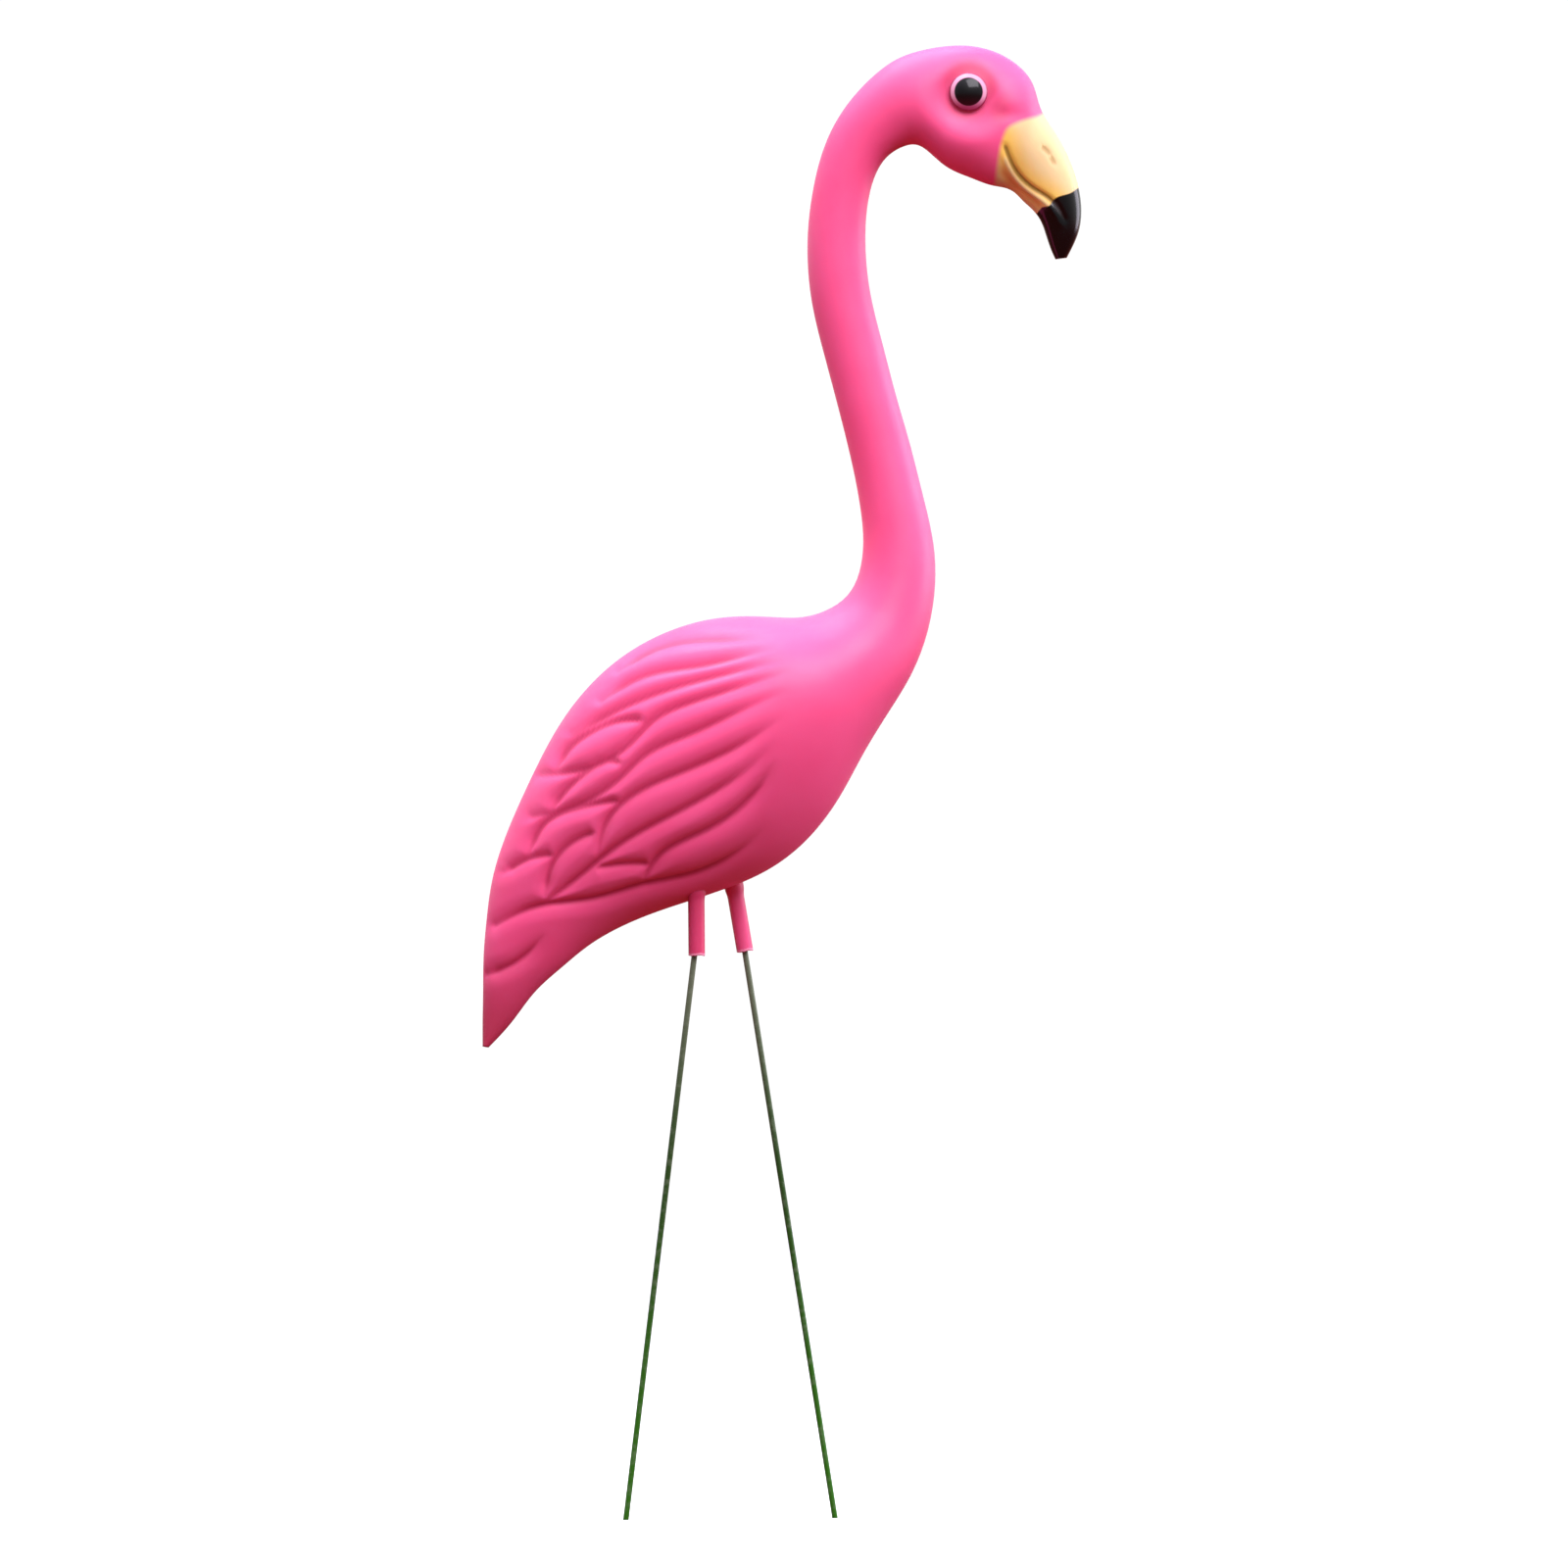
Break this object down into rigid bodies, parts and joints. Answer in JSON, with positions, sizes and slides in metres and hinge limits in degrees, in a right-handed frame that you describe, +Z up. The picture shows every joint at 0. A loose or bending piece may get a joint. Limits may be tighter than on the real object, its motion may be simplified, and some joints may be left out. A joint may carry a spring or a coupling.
{
  "type": "lawn flamingo ornament",
  "caption": "Pink plastic flamingo for the lawn, with carved feathers, a yellow and black beak and domed eyes, standing on thin wire legs set in the ground.",
  "frame": {"origin": "on the ground, midway between the feet of the two leg rods", "axes": "+Z up, +X the way the beak points, +Y to the figure's own left"},
  "size_m": [0.3496, 0.1242, 0.86],
  "materials": {
    "body_plastic": "satin pink polyethylene, the beak airbrushed yellow with a black tip",
    "eye_acrylic": "glossy dome, black pupil in a pale pink rim",
    "rod_steel": "satin dark green"
  },
  "bodies": {
    "root": {"body": "body_plastic", "eye_right": "eye_acrylic", "eye_left": "eye_acrylic", "leg_rod_rear": "rod_steel", "leg_rod_front": "rod_steel"}
  },
  "joints": []
}
